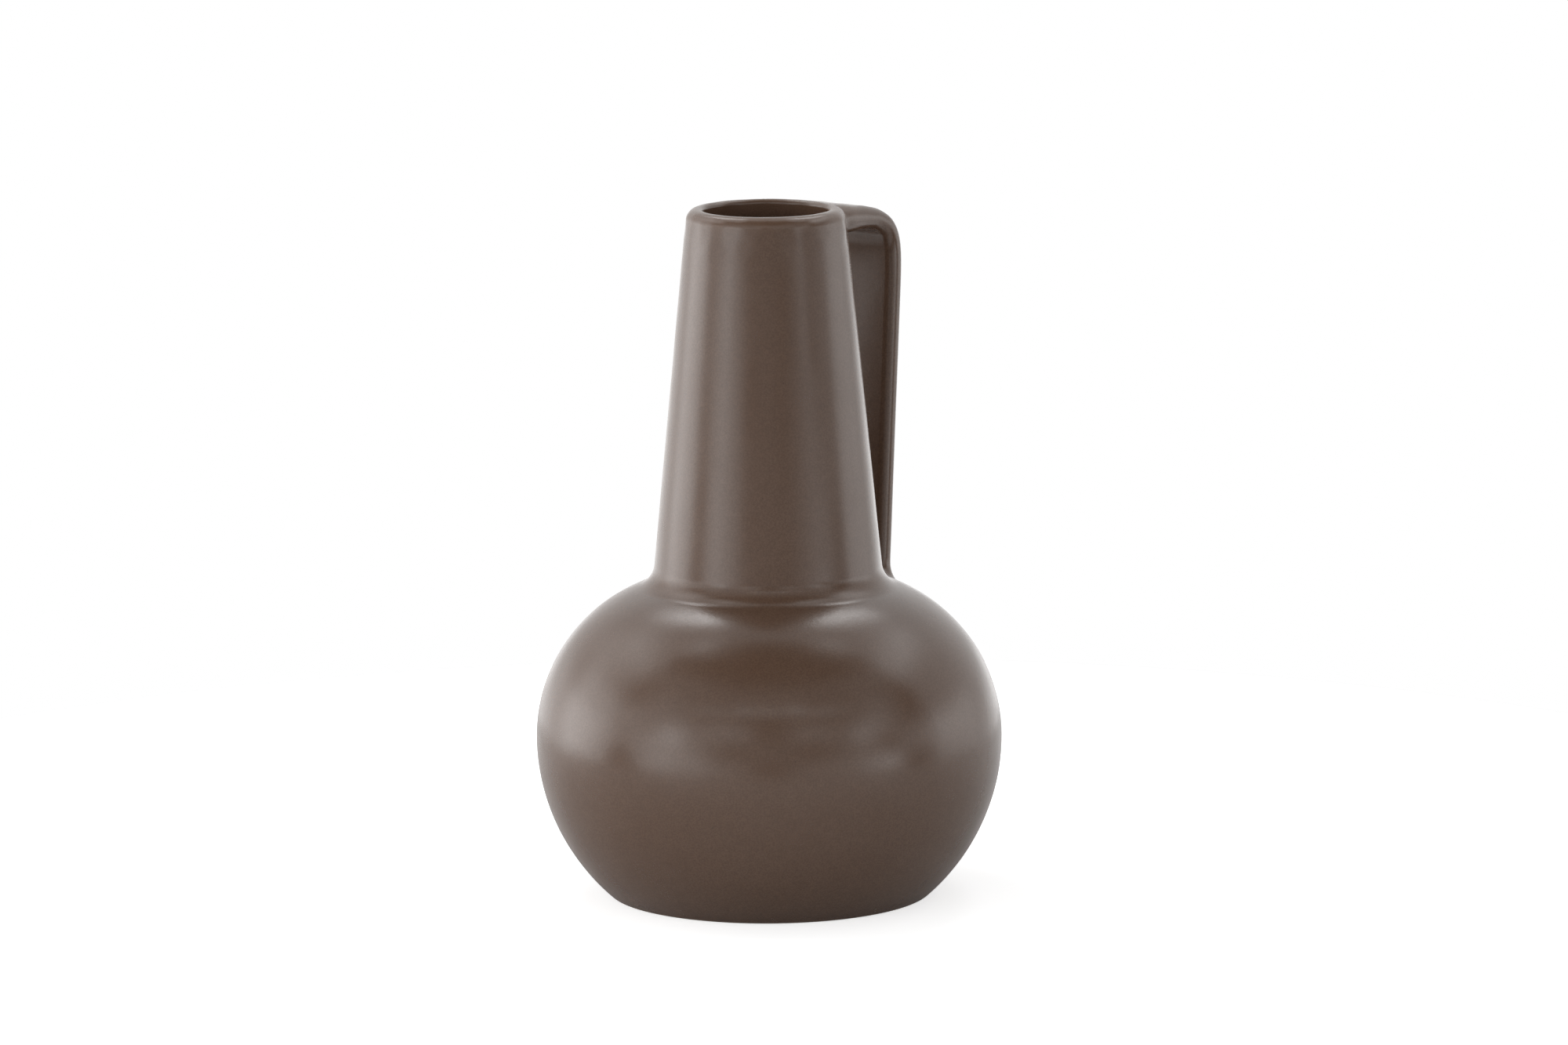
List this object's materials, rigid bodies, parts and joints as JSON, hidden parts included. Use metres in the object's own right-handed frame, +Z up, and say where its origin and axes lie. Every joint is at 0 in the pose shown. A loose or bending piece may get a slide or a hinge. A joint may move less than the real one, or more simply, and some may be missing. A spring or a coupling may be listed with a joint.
{
  "type": "handled bottle vase",
  "caption": "One-piece ceramic vase with a round belly, a tall tapering neck, a thick rounded lip and a flat strap handle from lip to shoulder.",
  "frame": {"origin": "on the ground below the axis of the neck", "axes": "+Z up along the axis of the neck, +Y towards the handle, which is at the back"},
  "size_m": [0.155, 0.155, 0.23],
  "materials": {
    "glaze": "satin taupe-brown glaze with a very fine grain"
  },
  "bodies": {
    "root": {"vase": "glaze"}
  },
  "joints": []
}
